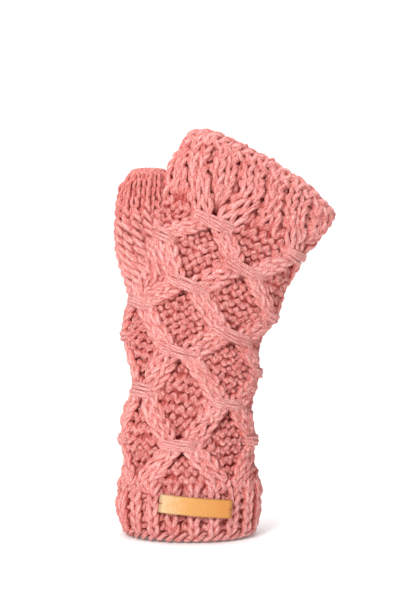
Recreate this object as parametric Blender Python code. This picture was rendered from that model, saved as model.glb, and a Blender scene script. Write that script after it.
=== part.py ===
"""One fingerless arm warmer, knitted in the round: a ribbed wrist, a smocked lattice over forearm and
hand, a ribbed finger edge and a thumb tube, with a leather tag on the wrist rib.

It stands upright in the shape that it has when worn: the forearm opening is at the bottom round the
origin, the back of the hand faces -Y, the thumb is at -X and the fingers lean towards +X.
"""

import math

import bmesh
import bpy
import numpy as np
from mathutils import Vector

MM = 0.001

# Driving sizes, metres
GAP = 0.3 * MM                # between pieces at a seam
INNER_POINTS = 24             # points round the hollow of the arm
THUMB_POINTS = 28             # points round the thumb
THUMB_HOLLOW_POINTS = 20      # points round its hollow
END_REACH = 6.0 * MM          # how far an inner form runs past the opening that it cuts
BLOCK_REACH = 0.4             # of the blocks that cut the pieces apart
SHARP_ANGLE = 40              # degrees, shading breaks past it
EDGE_HEIGHT = 4.2 * MM        # cast-on edge
WRIST_RIB_TOP = 30.5 * MM     # where the wrist rib ends
BIND_OFF = 5.0 * MM           # bound-off edge of the fingers
THUMB_BIND_OFF = 3.0 * MM     # bound-off edge of the thumb

# Smocked lattice: eight ribs of two stitches, tied together in pairs
TIE_COLUMNS = 8               # places of ties round the arm, every other one in each tie row
COLUMN_POINTS = 6             # points of a ring for each column
ROW_RINGS = 3                 # rings for each tie row, so that a band runs through points of the grid
TIE_OFFSET = -3.5 * MM        # first column, from the middle of the front
FIRST_COLUMN = -1.5           # the grid's first column line; the thumb gusset lies just before it
LATTICE_ROWS = (-1.0, 20 / 3)  # tie rows between which the lattice's grid runs
BAND_HALF_WIDTH = 0.3         # of a band of the lattice, in columns
RELIEF = 2.0 * MM             # how far a band stands over the ground between bands
GUSSET_HEIGHT = 0.5           # the plain knitting of the gusset, between ground 0 and band 1

# Leather tag on the front of the wrist rib
TAG_WIDTH = 37.0 * MM
TAG_HEIGHT = 9.6 * MM
TAG_THICKNESS = 1.4 * MM
TAG_CORNER = 0.8 * MM
TAG_MIDDLE_X = 3.4 * MM
TAG_MIDDLE_Z = 19.6 * MM
TAG_TURN = math.radians(-5.5)  # its right end hangs lower
TAG_STEPS = 14                 # cuts along the tag, so that it bends round the wrist

# Sections across the arm and the hand, millimetres. Each lies in a plane through its left and right
# points and square to the front; depth is its size front to back, square its superellipse power,
# tie_row the row of ties that it passes through, relief how much of the lattice shows, and share how
# much of the way round the lattice takes, beside the gusset of the thumb, and rise how far the middle of
# its front and back arches over the line between its sides.
SECTION_COLUMNS = (
    "left_x", "left_z", "right_x", "right_z", "depth", "square", "wall", "tie_row", "relief", "share", "rise"
)
ARM_SECTIONS = (
    (-34.0,   0.0, 34.4,   0.0, 53.0, 2.15, 3.4, -2.6, 0.0, 1.0, 0.0),
    (-37.4,   4.6, 37.8,   4.6, 57.5, 2.15, 3.9, -2.4, 0.0, 1.0, 0.0),
    (-38.8,  13.0, 38.8,  13.0, 59.0, 2.15, 4.2, -1.9, 0.0, 1.0, 0.0),
    (-37.8,  28.0, 38.6,  28.0, 58.0, 2.15, 4.2, -1.1, 0.3, 1.0, 0.0),
    (-36.6,  41.0, 37.2,  41.0, 56.5, 2.15, 4.0, -0.5, 1.0, 1.0, 0.0),
    (-37.4,  50.5, 36.6,  50.5, 55.0, 2.15, 4.0,  0.0, 1.0, 1.0, 0.0),
    (-36.6,  65.0, 36.4,  60.0, 53.0, 2.15, 4.0,  0.5, 1.0, 1.0, 0.0),
    (-33.2,  79.8, 36.6,  69.0, 51.0, 2.15, 4.0,  1.0, 1.0, 1.0, 0.0),
    (-33.0,  93.0, 38.2,  78.0, 49.5, 2.2,  4.0,  1.5, 1.0, 1.0, 0.0),
    (-36.6, 107.0, 38.6,  86.4, 48.5, 2.2,  4.0,  2.0, 1.0, 1.0, 0.0),
    (-34.0, 127.6, 40.6, 101.0, 47.0, 2.3,  4.0,  3.0, 1.0, 0.95, 0.0),
    (-34.0, 146.0, 47.6, 115.2, 45.0, 2.35, 4.0,  4.0, 1.0, 0.84, 0.0),
    (-28.0, 167.0, 54.0, 131.0, 42.0, 2.4,  4.0,  5.0, 1.0, 0.76, 0.0),
    (-18.0, 184.0, 62.0, 148.6, 39.0, 2.4,  4.0,  6.0, 0.8, 0.80, 0.0),
    (-12.4, 197.0, 70.2, 157.0, 36.0, 2.4,  3.8,  6.6, 0.3, 0.88, 2.0),
    ( -6.2, 207.6, 76.2, 165.6, 33.0, 2.4,  3.4,  7.2, 0.0, 0.95, 4.8),
    ( -0.2, 217.8, 79.8, 172.6, 29.0, 2.4,  2.8,  7.8, 0.0, 1.0, 7.0),
)

# Sections across the thumb, from deep inside the palm to its opening
THUMB_COLUMNS = ("left_x", "left_z", "right_x", "right_z", "depth", "square", "wall")
THUMB_SECTIONS = (
    (-31.0, 126.0,  -2.0, 131.0, 31.0, 2.2, 4.0),
    (-37.6, 146.0,  -7.0, 151.0, 31.0, 2.2, 4.0),
    (-39.8, 162.0, -10.6, 166.0, 29.5, 2.2, 4.0),
    (-39.8, 175.0, -12.4, 178.0, 28.0, 2.2, 3.8),
    (-38.6, 187.0, -13.4, 188.0, 26.0, 2.2, 3.4),
    (-33.4, 197.2, -13.9, 197.2, 21.0, 2.1, 2.2),
)
THUMB_CUTS = 2                 # rings of the loft for each of these sections
THUMB_BACK = 2.0 * MM          # the thumb lies this far behind the middle of the hand

# The arch of the finger edge is steep beside the thumb and long towards the little finger
ARCH_POWERS = (6, 2)
ARCH_CUTS = (-1.0, -0.85, -0.5, 0.15, 0.6, 1.0)  # places across the hand where the seam under that edge bends

# Seams: planes square to the front, through two points, millimetres. They meet at the crotch of the thumb
CROTCH = (-13.5, 193.4)
FINGER_SEAM = (CROTCH, (62.0, 152.6))
THUMB_SEAM = ((-42.0, 163.0), CROTCH)

COLOURS = {
    "coral_yarn": ((0.78, 0.235, 0.215), 0.85),
    "tan_leather": ((0.62, 0.30, 0.10), 0.55),
}


def clear_scene():
    for old in list(bpy.data.objects):
        bpy.data.objects.remove(old, do_unlink=True)


def new_collection(name, shown):
    collection = bpy.data.collections.new(name)
    collection.hide_render = not shown
    bpy.context.scene.collection.children.link(collection)
    return collection


def new_material(slot):
    colour, roughness = COLOURS[slot]
    material = bpy.data.materials.new(slot)
    material.use_nodes = True
    shader = material.node_tree.nodes["Principled BSDF"]
    shader.inputs["Base Color"].default_value = (*colour, 1.0)
    shader.inputs["Roughness"].default_value = roughness
    shader.inputs["Metallic"].default_value = 0.0
    return material


def new_object(name, mesh, collection, material=None, cutter=False):
    item = bpy.data.objects.new(name, mesh)
    collection.objects.link(item)
    if material:
        mesh.materials.append(material)
    if cutter:
        item.hide_render = True
        item.display_type = "WIRE"
    return item


def catmull_rom(table, places):
    """The table's rows at fractional row numbers, on a smooth curve through all of them."""
    rows = np.vstack([2 * table[0] - table[1], table, 2 * table[-1] - table[-2]])
    row = np.minimum(places.astype(int), len(table) - 2)
    t = (places - row)[:, None]
    before, start, end, after = (rows[row + shift] for shift in range(4))
    bend = (2 * before - 5 * start + 4 * end - after) * t**2
    turn = (3 * start - before - 3 * end + after) * t**3
    return 0.5 * (2 * start + (end - before) * t + bend + turn)


def stations(sections, columns, places):
    """Sections at fractional row numbers of a table, as a dictionary of columns in metres."""
    lengths = ("left_x", "left_z", "right_x", "right_z", "depth", "wall", "rise")
    scale = np.array([MM if column in lengths else 1.0 for column in columns])
    return dict(zip(columns, catmull_rom(np.array(sections, float) * scale, places).T))


def arm_places():
    """Row numbers for the rings of the arm: thirds of a tie row over the lattice, else the table's."""
    tie_row = np.array([row[SECTION_COLUMNS.index("tie_row")] for row in ARM_SECTIONS])
    first, last = LATTICE_ROWS
    grid = np.linspace(first, last, round((last - first) * ROW_RINGS) + 1)
    ends = [row for row in tie_row if row < first or row > last]
    wanted = np.sort(np.concatenate([grid, ends]))
    return np.interp(wanted, tie_row, np.arange(len(tie_row))), wanted


def superellipse(half_width, half_depth, power):
    """A dense outline from the middle of the front towards +X, with the length along it."""
    angle = np.linspace(0.0, 2 * math.pi, 721) - math.pi / 2
    across = half_width * np.sign(np.cos(angle)) * np.abs(np.cos(angle)) ** (2 / power)
    back = half_depth * np.sign(np.sin(angle)) * np.abs(np.sin(angle)) ** (2 / power)
    length = np.concatenate([[0.0], np.cumsum(np.hypot(np.diff(across), np.diff(back)))])
    return across, back, length


def even_spots(count, round_length):
    return np.arange(count) * round_length / count


def column_spots(round_length, share):
    """Places round a ring on the column lines of the lattice. The last column before the first line
    is stretched over the gusset. Also each place's column number."""
    column = FIRST_COLUMN + np.arange(TIE_COLUMNS * COLUMN_POINTS) / COLUMN_POINTS
    pitch = round_length * share / TIE_COLUMNS
    last_plain = FIRST_COLUMN + TIE_COLUMNS - 1
    stretch = 1.0 + (round_length / pitch - TIE_COLUMNS)
    warped = np.where(column > last_plain, last_plain + (column - last_plain) * stretch, column)
    return TIE_OFFSET + warped * pitch, column


def lattice_height(column, tie_row, share):
    """1 on the middle of a band, 0 on the ground: bands run from tie to tie, half a column a row."""
    rising, falling = column + tie_row / 2, column - tie_row / 2
    nearest = np.minimum(np.abs(rising - np.round(rising)), np.abs(falling - np.round(falling)))
    band = np.clip(1.0 - (nearest / BAND_HALF_WIDTH) ** 2, 0.0, 1.0)
    in_gusset = np.where(column > FIRST_COLUMN + TIE_COLUMNS - 1, min(1.0, 6 * (1.0 - share)), 0.0)
    return band + (GUSSET_HEIGHT - band) * in_gusset


def arch(share):
    """Height of the arch from 0 to 1, at a share of the half width to the left (-) or the right (+)."""
    left, right = ARCH_POWERS
    return 1.0 - np.abs(share) ** np.where(share < 0, left, right)


def ring(station, index, inset, back, count=0, tie_row=None):
    """One closed ring of points, inset from the outer form by a share of the wall: evenly spaced, or
    on the lattice's column lines with its relief. Also the height of each point, from 0 to 1."""
    left = np.array([station["left_x"][index], station["left_z"][index]])
    right = np.array([station["right_x"][index], station["right_z"][index]])
    wall = station["wall"][index] * inset
    half_width = np.linalg.norm(right - left) / 2 - wall
    half_depth = station["depth"][index] / 2 - wall
    direction = (right - left) / np.linalg.norm(right - left)
    across, depth, length = superellipse(half_width, half_depth, station["square"][index])
    height = np.zeros(count)
    spots = even_spots(count, length[-1])
    if tie_row is not None:
        share = station["share"][index]
        spots, column = column_spots(length[-1], share)
        height = lattice_height(column, tie_row, share)
    across = np.interp(spots, length, across, period=length[-1])
    depth = np.interp(spots, length, depth, period=length[-1])
    rise = station["rise"][index] * arch(across / half_width) if "rise" in station else np.zeros(len(across))
    if tie_row is not None:
        lift = RELIEF * station["relief"][index] * (height - 1.0)
        slant = np.hypot(across / half_width, depth / half_depth)
        across = across + lift * across / half_width / slant
        depth = depth + lift * depth / half_depth / slant
    up = np.array([-direction[1], direction[0]])
    flat = (left + right) / 2 + across[:, None] * direction + rise[:, None] * up
    return np.stack([flat[:, 0], depth + back, flat[:, 1]], axis=1), height


def stretched(rings, reach):
    """The rings with the first and the last moved straight out of the loft, clear of the outer form's
    end faces."""
    low, high = rings[0] - rings[1], rings[-1] - rings[-2]
    first = rings[0] + low * reach / np.linalg.norm(low.mean(axis=0))
    last = rings[-1] + high * reach / np.linalg.norm(high.mean(axis=0))
    return [first] + rings[1:-1] + [last]


def end_strip(points, first):
    """Triangles that close an arched ring, in a strip between its front and its back. The ring's points
    are numbered from first on."""
    count = len(points)
    left, right = int(np.argmin(points[:, 0])), int(np.argmax(points[:, 0]))
    front = [(left + step) % count for step in range((right - left) % count + 1)]
    back = [(left - step) % count for step in range((left - right) % count + 1)]
    i = j = 1
    faces = [(left, front[1], back[1])]
    while i < len(front) - 2 or j < len(back) - 2:
        front_next = i < len(front) - 2 and (j == len(back) - 2 or points[front[i + 1], 0] < points[back[j + 1], 0])
        if front_next:
            faces.append((front[i], front[i + 1], back[j]))
            i += 1
        else:
            faces.append((front[i], back[j + 1], back[j]))
            j += 1
    faces.append((front[i], right, back[j]))
    return [tuple(first + spot for spot in face) for face in faces]


def loft(name, rings, heights=None):
    """A closed mesh through rings of as many points each, with a flat face at its first end. With heights,
    each four-sided face is split along the diagonal that lies higher, so that bands keep a clean crest."""
    count = len(rings[0])
    points = np.concatenate(rings)
    height = np.concatenate(heights) if heights else None
    faces = []
    for row in range(len(rings) - 1):
        for spot in range(count):
            after = (spot + 1) % count
            low, high = row * count, (row + 1) * count
            a, b, c, d = low + spot, low + after, high + after, high + spot
            if height is None:
                faces.append((a, b, c, d))
            elif height[a] + height[c] >= height[b] + height[d]:
                faces += [(a, b, c), (a, c, d)]
            else:
                faces += [(a, b, d), (b, c, d)]
    faces.append(tuple(reversed(range(count))))
    faces += end_strip(rings[-1], (len(rings) - 1) * count)
    mesh = bpy.data.meshes.new(name)
    mesh.from_pydata([tuple(point) for point in points], [], faces)
    return mesh


def arm_outer():
    places, tie_rows = arm_places()
    station = stations(ARM_SECTIONS, SECTION_COLUMNS, places)
    made = [ring(station, i, 0.0, 0.0, tie_row=tie_row) for i, tie_row in enumerate(tie_rows)]
    rings, heights = zip(*made)
    return loft("arm_outer", rings, heights)


def plain_tube(name, sections, columns, places, count, inset, back, reach=0.0):
    station = stations(sections, columns, places)
    rings = [ring(station, i, inset, back, count)[0] for i in range(len(places))]
    return loft(name, stretched(rings, reach) if reach else rings)


def clipped(outline, seam, side, shift):
    """The part of a convex outline in the XZ plane on one side of a seam line (+1 above it)."""
    (x1, z1), (x2, z2) = [(x * MM, z * MM) for x, z in seam]
    slope = (z2 - z1) / (x2 - x1)
    lift = side * shift * math.hypot(1.0, slope)
    over = [side * (z - z1 - lift - (x - x1) * slope) for x, z in outline]
    kept = []
    for here, (x, z) in enumerate(outline):
        after = (here + 1) % len(outline)
        if over[here] >= 0:
            kept.append((x, z))
        if (over[here] >= 0) != (over[after] >= 0):
            share = over[here] / (over[here] - over[after])
            kept.append((x + share * (outline[after][0] - x), z + share * (outline[after][1] - z)))
    return kept


def zone(name, seams, low_x, high_x, collection):
    """A block that holds one piece: all there is between its seams and between two x values."""
    outline = [(low_x, -BLOCK_REACH), (high_x, -BLOCK_REACH), (high_x, BLOCK_REACH), (low_x, BLOCK_REACH)]
    for seam, side, shift in seams:
        outline = clipped(outline, seam, side, shift)
    count = len(outline)
    points = [(x, y, z) for y in (-BLOCK_REACH, BLOCK_REACH) for x, z in outline]
    faces = [tuple(range(count)), tuple(reversed(range(count, 2 * count)))]
    for spot in range(count):
        after = (spot + 1) % count
        faces.append((spot, spot + count, after + count, after))
    mesh = bpy.data.meshes.new(name)
    mesh.from_pydata(points, [], faces)
    return new_object(name, mesh, collection, cutter=True)


def add_boolean(item, operation, other):
    modifier = item.modifiers.new(f"{operation.lower()}_{other.name}", "BOOLEAN")
    modifier.operation = operation
    modifier.solver = "EXACT"
    modifier.object = other
    return modifier


def applied(item, name):
    """A new mesh of the object as its modifiers leave it."""
    bpy.context.view_layer.update()
    graph = bpy.context.evaluated_depsgraph_get()
    mesh = bpy.data.meshes.new_from_object(item.evaluated_get(graph))
    mesh.name = name
    return mesh


def whole_shell(collection):
    """Arm, hand and thumb as one hollow form with three openings: both outer forms joined, less both
    inner forms."""
    arm_rows = np.arange(len(ARM_SECTIONS), dtype=float)
    thumb_rows = np.arange((len(THUMB_SECTIONS) - 1) * THUMB_CUTS + 1) / THUMB_CUTS
    thumb = (THUMB_SECTIONS, THUMB_COLUMNS, thumb_rows)
    base = new_object("arm_outer", arm_outer(), collection, cutter=True)
    meshes = (
        ("UNION", plain_tube("thumb_outer", *thumb, THUMB_POINTS, 0.0, THUMB_BACK)),
        ("DIFFERENCE", plain_tube(
            "arm_inner", ARM_SECTIONS, SECTION_COLUMNS, arm_rows, INNER_POINTS, 1.0, 0.0, END_REACH)),
        ("DIFFERENCE", plain_tube("thumb_inner", *thumb, THUMB_HOLLOW_POINTS, 1.0, THUMB_BACK, END_REACH)),
    )
    for operation, mesh in meshes:
        add_boolean(base, operation, new_object(mesh.name, mesh, collection, cutter=True))
    return applied(base, "whole_shell")


def flat_seam(height):
    return ((0.0, height / MM), (100.0, height / MM))


def end_seams(section, columns, cuts, back_off):
    """Seam lines along the arch of a tube's last section, moved back down the tube."""
    row = dict(zip(columns, section))
    left, right = np.array([row["left_x"], row["left_z"]]), np.array([row["right_x"], row["right_z"]])
    half = (right - left) / 2
    up = np.array([-half[1], half[0]]) / np.linalg.norm(half)
    heights = row.get("rise", 0.0) * arch(np.array(cuts)) - back_off / MM
    points = [tuple((left + right) / 2 + cut * half + height * up) for cut, height in zip(cuts, heights)]
    return list(zip(points[:-1], points[1:]))


def cut_pieces(shell, collection, cutters, yarn):
    """The nodes that are knitted: each is the shell between its seams. The edge of the fingers is what
    is left of the shell over their rib."""
    hem_line = flat_seam(EDGE_HEIGHT)
    rib_line = flat_seam(WRIST_RIB_TOP)
    finger_lines = end_seams(ARM_SECTIONS[-1], SECTION_COLUMNS, ARCH_CUTS, BIND_OFF)
    thumb_line = end_seams(THUMB_SECTIONS[-1], THUMB_COLUMNS, (-1.0, 1.0), THUMB_BIND_OFF)[0]
    side = CROTCH[0] * MM
    pieces = {
        "cast_on_edge": ([(hem_line, -1, 0.0)], -BLOCK_REACH, BLOCK_REACH),
        "wrist_rib": ([(hem_line, 1, GAP), (rib_line, -1, 0.0)], -BLOCK_REACH, BLOCK_REACH),
        "lattice_body": (
            [(rib_line, 1, GAP), (FINGER_SEAM, -1, 0.0), (THUMB_SEAM, -1, 0.0)], -BLOCK_REACH, BLOCK_REACH
        ),
        "finger_rib": ([(FINGER_SEAM, 1, GAP)] + [(line, -1, 0.0) for line in finger_lines], side, BLOCK_REACH),
        "finger_bind_off": ([(FINGER_SEAM, 1, GAP)], side, BLOCK_REACH),
        "thumb_tube": ([(THUMB_SEAM, 1, GAP), (thumb_line, -1, 0.0)], -BLOCK_REACH, side - GAP),
        "thumb_bind_off": ([(thumb_line, 1, GAP)], -BLOCK_REACH, side - GAP),
    }
    for name, (seams, low_x, high_x) in pieces.items():
        item = new_object(name, shell.copy(), collection, yarn)
        add_boolean(item, "INTERSECT", zone(f"{name}_zone", seams, low_x, high_x, cutters))
        if name == "finger_bind_off":
            below = [(line, -1, -GAP) for line in finger_lines]
            add_boolean(item, "DIFFERENCE", zone("below_bind_off", below, -BLOCK_REACH, BLOCK_REACH, cutters))
        mesh = applied(item, name)
        item.modifiers.clear()
        item.data = mesh
        mesh.shade_smooth()
        mesh.set_sharp_from_angle(angle=math.radians(SHARP_ANGLE))


def front_of_rib(x, z):
    """Depth of the rib's front face at a place on it, from the level sections of the wrist."""
    station = stations(ARM_SECTIONS, SECTION_COLUMNS, arm_places()[0])
    half_width = np.interp(z, station["left_z"], (station["right_x"] - station["left_x"]) / 2)
    half_depth = np.interp(z, station["left_z"], station["depth"] / 2)
    power = np.interp(z, station["left_z"], station["square"])
    middle = np.interp(z, station["left_z"], (station["right_x"] + station["left_x"]) / 2)
    share = np.abs((x - middle) / half_width)
    return -half_depth * (1.0 - share**power) ** (1 / power)


def make_tag(collection, leather):
    """A strap with round corners, cut across so that it bends, laid on the points of the rib's front."""
    bpy.ops.mesh.primitive_cube_add(size=1.0)
    item = bpy.context.object
    item.name = item.data.name = "leather_tag"
    for holder in list(item.users_collection):
        holder.objects.unlink(item)
    collection.objects.link(item)
    work = bmesh.new()
    work.from_mesh(item.data)
    bmesh.ops.scale(work, vec=(TAG_WIDTH, TAG_THICKNESS, TAG_HEIGHT), verts=work.verts)
    upright = [e for e in work.edges if abs(e.verts[0].co.y - e.verts[1].co.y) > TAG_THICKNESS / 2]
    bmesh.ops.bevel(work, geom=upright, offset=TAG_CORNER, segments=2, affect="EDGES")
    for step in range(1, TAG_STEPS):
        place = Vector((TAG_WIDTH * (step / TAG_STEPS - 0.5), 0.0, 0.0))
        geometry = work.verts[:] + work.edges[:] + work.faces[:]
        bmesh.ops.bisect_plane(work, geom=geometry, plane_co=place, plane_no=(1.0, 0.0, 0.0))
    for vertex in work.verts:
        x = vertex.co.x * math.cos(TAG_TURN) - vertex.co.z * math.sin(TAG_TURN) + TAG_MIDDLE_X
        z = vertex.co.x * math.sin(TAG_TURN) + vertex.co.z * math.cos(TAG_TURN) + TAG_MIDDLE_Z
        lift = GAP + TAG_THICKNESS / 2 - vertex.co.y
        vertex.co = (x, front_of_rib(x, TAG_MIDDLE_Z) - lift, z)
    work.to_mesh(item.data)
    work.free()
    item.data.materials.append(leather)
    item.data.shade_smooth()
    item.data.set_sharp_from_angle(angle=math.radians(SHARP_ANGLE))
    return item


def main():
    clear_scene()
    warmer = new_collection("arm_warmer", shown=True)
    cutters = new_collection("cutters", shown=False)
    yarn = new_material("coral_yarn")
    leather = new_material("tan_leather")
    shell = whole_shell(cutters)
    cut_pieces(shell, warmer, cutters, yarn)
    make_tag(warmer, leather)


main()
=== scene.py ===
import math

import bpy
import numpy as np
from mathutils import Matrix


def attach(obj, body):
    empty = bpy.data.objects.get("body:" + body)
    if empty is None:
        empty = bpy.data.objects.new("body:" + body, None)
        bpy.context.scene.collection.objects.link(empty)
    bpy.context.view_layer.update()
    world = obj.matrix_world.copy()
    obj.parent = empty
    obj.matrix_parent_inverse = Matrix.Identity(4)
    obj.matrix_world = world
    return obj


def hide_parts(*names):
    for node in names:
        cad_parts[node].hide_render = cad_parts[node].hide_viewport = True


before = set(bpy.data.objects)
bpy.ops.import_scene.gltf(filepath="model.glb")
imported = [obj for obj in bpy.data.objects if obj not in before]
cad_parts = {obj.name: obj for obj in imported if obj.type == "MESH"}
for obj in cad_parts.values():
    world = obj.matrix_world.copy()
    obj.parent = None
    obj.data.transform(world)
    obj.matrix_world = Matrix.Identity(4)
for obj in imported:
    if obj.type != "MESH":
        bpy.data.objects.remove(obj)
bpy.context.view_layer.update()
print("frame loaded")

mm = 0.001
turn = 2 * math.pi

# Sections across the arm and hand, mm: left x and z, right x and z, depth front to back, superellipse
# power, row of ties, how much of the lattice's relief shows, share of the way round that the lattice takes,
# and the rise of the middle of its front and back over the line between its sides
armForm = {
    "backOff": 0.0,        # mm from y = 0 back to the middle
    "archPowers": (6, 2),  # of the rise, towards the thumb and away from it
    "sections": (
        (-34.0, 0.0, 34.4, 0.0, 53.0, 2.15, -2.6, 0.0, 1.0, 0.0),
        (-37.4, 4.6, 37.8, 4.6, 57.5, 2.15, -2.4, 0.0, 1.0, 0.0),
        (-39.8, 13.0, 39.6, 13.0, 59.0, 2.15, -1.9, 0.0, 1.0, 0.0),
        (-39.0, 28.0, 39.6, 28.0, 58.0, 2.15, -1.1, 0.3, 1.0, 0.0),
        (-36.6, 41.0, 36.2, 41.0, 56.5, 2.15, -0.5, 1.0, 1.0, 0.0),
        (-37.4, 50.5, 36.6, 50.5, 55.0, 2.15, 0.0, 1.0, 1.0, 0.0),
        (-36.6, 65.0, 36.4, 60.0, 53.0, 2.15, 0.5, 1.0, 1.0, 0.0),
        (-33.2, 79.8, 36.6, 69.0, 51.0, 2.15, 1.0, 1.0, 1.0, 0.0),
        (-33.0, 93.0, 38.2, 78.0, 49.5, 2.2, 1.5, 1.0, 1.0, 0.0),
        (-36.6, 107.0, 38.6, 86.4, 48.5, 2.2, 2.0, 1.0, 1.0, 0.0),
        (-34.0, 127.6, 40.6, 101.0, 47.0, 2.3, 3.0, 1.0, 0.95, 0.0),
        (-34.0, 146.0, 47.6, 115.2, 45.0, 2.35, 4.0, 1.0, 0.84, 0.0),
        (-28.0, 167.0, 54.0, 131.0, 42.0, 2.4, 5.0, 1.0, 0.76, 0.0),
        (-20.0, 180.6, 62.0, 148.0, 39.0, 2.4, 6.05, 0.8, 0.80, 0.0),
        (-12.4, 197.0, 70.2, 157.0, 36.0, 2.4, 6.6, 0.3, 0.88, 2.0),
        (-6.2, 207.6, 76.2, 165.6, 33.0, 2.4, 7.2, 0.0, 0.95, 4.8),
        (-0.2, 217.8, 79.8, 172.6, 29.0, 2.4, 7.8, 0.0, 1.0, 7.0),
    ),
}
thumbForm = {  # the first six of the same columns
    "backOff": -0.6,
    "sections": (
        (-31.0, 126.0, -2.0, 131.0, 31.0, 2.2),
        (-37.6, 146.0, -7.0, 151.0, 31.0, 2.2),
        (-39.8, 162.0, -9.4, 166.0, 30.5, 2.2),
        (-39.8, 175.0, -10.0, 178.0, 29.5, 2.2),
        (-37.3, 187.0, -10.4, 188.0, 27.0, 2.2),
        (-30.2, 197.2, -12.4, 196.8, 21.0, 2.1),
    ),
}
fineRows, fineRound = 16, 720  # grid lines for each section, and points round
normalReach = 3                # points on either side over which the way round is taken for the normal
levelSections = 6              # of the arm, from its hem up
hemHeight = armForm["sections"][1][1] * mm
junction = {                   # where the arm's yarn and the thumb's run into each other
    "arm": (8.0, 16.5), "thumb": (0.0, 4.6), "thumbCloth": (0.0, 5.0),   # sections that take part
    "yarnDeep": 4.6 * mm, "clothDeep": 2.6 * mm,   # how deep inside the other form each is left out
    "level": 1.5 * mm,         # most that a point lies over or under its nearest section
}


def smoothStep(x):
    # 3x^2 - 2x^3 between 0 and 1
    x = np.clip(x, 0.0, 1.0)
    return x * x * (3 - 2 * x)


def smoothRows(table, places):
    # Catmull-Rom: a cubic through every row of the table, the ends carried straight on
    rows = np.vstack([3 * table[0] - 2 * table[1], 2 * table[0] - table[1], table,
                      2 * table[-1] - table[-2], 3 * table[-1] - 2 * table[-2]])
    places = places + 1
    row = np.clip(np.floor(places).astype(int), 0, len(rows) - 4)
    t = (places - row)[:, None]
    before, start, end, after = (rows[row + shift] for shift in range(4))
    return 0.5 * (2 * start + (end - before) * t + (2 * before - 5 * start + 4 * end - after) * t**2
                  + (3 * start - before - 3 * end + after) * t**3)


def formGrid(form):
    # Rings |across/a|^n + |depth/b|^n = 1 in the plane of each section, spaced evenly by length and raised by
    # rise * (1 - |across/a|^p); normal = (way round) x (way up)
    table = np.array(form["sections"], float)
    table[:, :5] *= mm
    table[:, 9:] *= mm
    places = np.arange(-fineRows, len(table) * fineRows + 1) / fineRows
    rows = smoothRows(table, places)
    left, right = rows[:, 0:2], rows[:, 2:4]
    halfWidth = np.linalg.norm(right - left, axis=1) / 2
    halfDepth = rows[:, 4] / 2
    way = (right - left) / (2 * halfWidth[:, None])
    angle = np.linspace(0, turn, 2 * fineRound + 1) - math.pi / 2
    power = 2 / rows[:, 5][:, None]
    across = halfWidth[:, None] * np.sign(np.cos(angle)) * np.abs(np.cos(angle)) ** power
    depth = halfDepth[:, None] * np.sign(np.sin(angle)) * np.abs(np.sin(angle)) ** power
    step = np.hypot(np.diff(across, axis=1), np.diff(depth, axis=1))
    length = np.concatenate([np.zeros((len(rows), 1)), np.cumsum(step, axis=1)], axis=1)
    even = np.arange(fineRound) / fineRound
    across = np.array([np.interp(even * run[-1], run, line) for run, line in zip(length, across)])
    depth = np.array([np.interp(even * run[-1], run, line) for run, line in zip(length, depth)])
    middle = (left + right) / 2
    rise = np.zeros_like(across)
    if "archPowers" in form:
        share = across / halfWidth[:, None]
        rise = rows[:, 9:10] * (1 - np.abs(share) ** np.where(share < 0, *form["archPowers"]))
    back = form["backOff"] * mm
    points = np.stack([middle[:, 0:1] + across * way[:, 0:1] - rise * way[:, 1:2], depth + back,
                       middle[:, 1:2] + across * way[:, 1:2] + rise * way[:, 0:1]], axis=2)
    wayRound = np.roll(points, -normalReach, axis=1) - np.roll(points, normalReach, axis=1)
    normal = np.cross(wayRound, np.gradient(points, axis=0))
    normal /= np.linalg.norm(normal, axis=2, keepdims=True)
    return {"points": points, "normal": normal, "length": length[:, -1], "rows": rows, "places": places,
            "middle": middle, "way": way, "halfWidth": halfWidth, "halfDepth": halfDepth, "power": rows[:, 5],
            "back": back}


def along(grid, name, place):
    # a column of the sections at fractional section numbers
    return np.interp(place, grid["places"], grid[name])


def onForm(grid, place, arc, lift):
    # point = S(place, arc) + lift * normal, bilinear over the grid; arc in metres from the front's middle
    share = arc / along(grid, "length", place)
    row = np.clip((place - grid["places"][0]) * fineRows, 0, len(grid["places"]) - 1.001)
    column = (share % 1.0) * fineRound
    r0, c0 = np.floor(row).astype(int), np.floor(column).astype(int) % fineRound
    r1, c1 = r0 + 1, (c0 + 1) % fineRound
    a, b = (row - r0)[..., None], (column - np.floor(column))[..., None]

    def mixed(field):
        return ((field[r0, c0] * (1 - b) + field[r0, c1] * b) * (1 - a)
                + (field[r1, c0] * (1 - b) + field[r1, c1] * b) * a)

    normal = mixed(grid["normal"])
    normal /= np.linalg.norm(normal, axis=-1, keepdims=True)
    return mixed(grid["points"]) + normal * np.asarray(lift)[..., None], normal


def depthInside(grid, points, reach):
    # metres inside a form, about (1 - q) * half depth with q the superellipse's radius; negative outside
    flat = points.reshape(-1, 3)
    use = np.flatnonzero((grid["places"] >= reach[0]) & (grid["places"] <= reach[1]))
    middle, way = grid["middle"][use], grid["way"][use]
    over = ((flat[:, None, 2] - middle[None, :, 1]) * way[None, :, 0]
            - (flat[:, None, 0] - middle[None, :, 0]) * way[None, :, 1])
    nearest = np.argmin(np.abs(over), axis=1)
    outside = np.abs(over[np.arange(len(flat)), nearest]) > junction["level"]
    row = use[nearest]
    across = np.abs(np.sum((flat[:, [0, 2]] - grid["middle"][row]) * grid["way"][row], axis=1))
    across = across / grid["halfWidth"][row]
    depth = np.abs(flat[:, 1] - grid["back"]) / grid["halfDepth"][row]
    radius = (across ** grid["power"][row] + depth ** grid["power"][row]) ** (1 / grid["power"][row])
    inside = (1 - radius) * grid["halfDepth"][row]
    inside[outside] = -1.0
    return inside.reshape(points.shape[:-1])


arm, thumb = formGrid(armForm), formGrid(thumbForm)
arm["tieRow"], arm["relief"], arm["share"] = (arm["rows"][:, column] for column in (6, 7, 8))
print("forms ready")

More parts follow.
